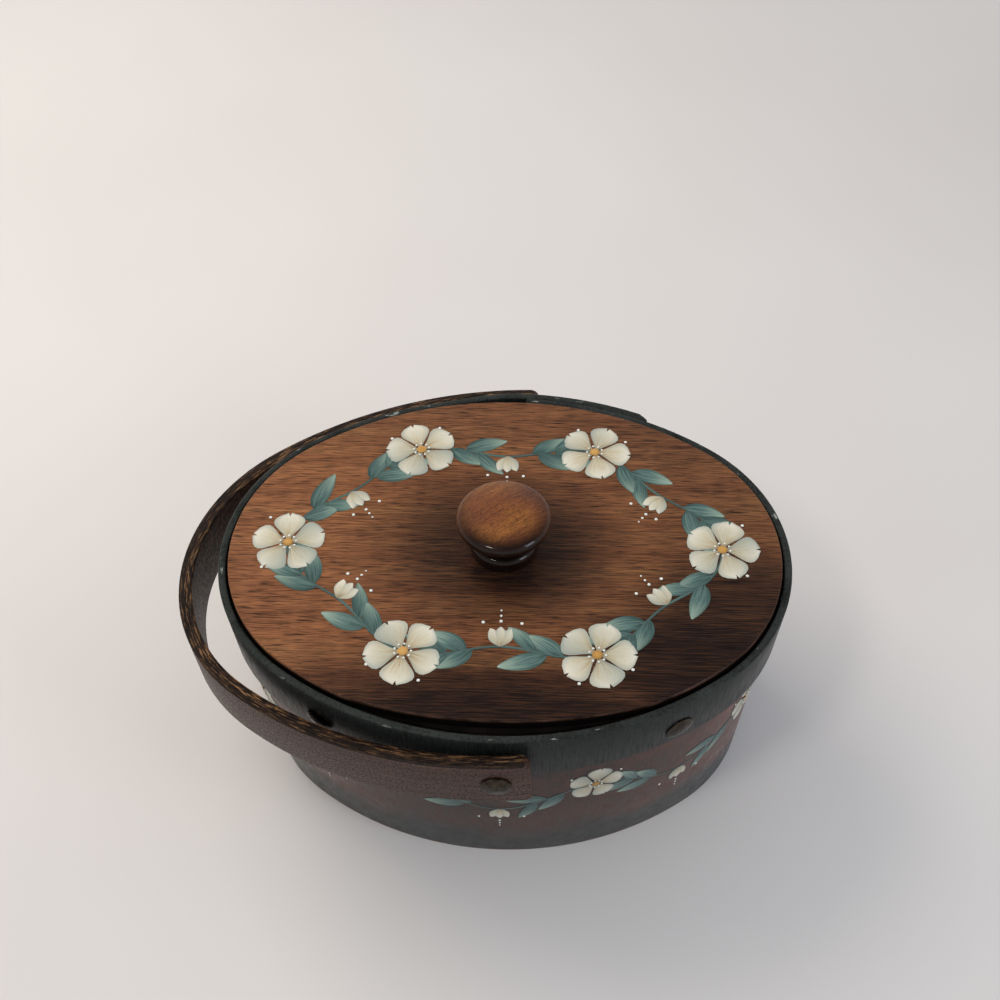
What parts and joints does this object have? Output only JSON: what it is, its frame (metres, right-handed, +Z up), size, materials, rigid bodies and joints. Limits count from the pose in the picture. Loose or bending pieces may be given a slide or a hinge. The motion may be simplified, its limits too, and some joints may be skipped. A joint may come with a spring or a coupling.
{
  "type": "lidded wooden bucket",
  "caption": "Oval bentwood bucket with a leaning wall, a riveted and lapped rim hoop, a drop-in lid with a turned knob, and a bentwood handle that swings on rivets.",
  "frame": {"origin": "on the floor, under the middle of the oval's long axis", "axes": "+X along the oval's length to the right, +Y away from the viewer to the hoop's lap, +Z up"},
  "size_m": [0.2748, 0.218, 0.1416],
  "materials": {
    "mottled_wood": "varnished, mottled reddish brown",
    "painted_wood": "varnished dark grey-green paint",
    "stained_wood": "varnished reddish-brown stain",
    "knob_wood": "glossy varnished turned wood",
    "handle_wood": "varnished dark brown",
    "inner_wood": "bare",
    "bronze": "aged bronze",
    "leather": "plain"
  },
  "bodies": {
    "bucket": {"base_board": "inner_wood", "base_brads": "bronze", "body_wall": "mottled_wood", "lid_ledge": "inner_wood", "rim_hoop": "painted_wood", "lap_tacks": "bronze", "hoop_rivet_front_left": "bronze", "hoop_rivet_front_right": "bronze", "hoop_rivet_back_left": "bronze", "hoop_rivet_back_right": "bronze", "hoop_burr_front_left": "bronze", "hoop_burr_front_right": "bronze", "hoop_burr_back_left": "bronze", "hoop_burr_back_right": "bronze", "pivot_rivet_front": "bronze", "pivot_rivet_back": "bronze", "pivot_burr_front": "bronze", "pivot_burr_back": "bronze", "pivot_washer_front": "leather", "pivot_washer_back": "leather"},
    "lid": {"lid_board": "stained_wood", "lid_knob": "knob_wood", "knob_screw": "bronze"},
    "handle": {"handle_strap": "handle_wood"}
  },
  "joints": [
    {"name": "handle_swing", "type": "hinge", "parent": "bucket", "child": "handle", "pos_m": [0, 0, 0.0945], "axis": [0, 1, 0], "range_deg": [-24, 212]},
    {"name": "lid_lift", "type": "slide", "parent": "bucket", "child": "lid", "axis": [0, 0, 1], "range_m": [0, 0.05]}
  ]
}
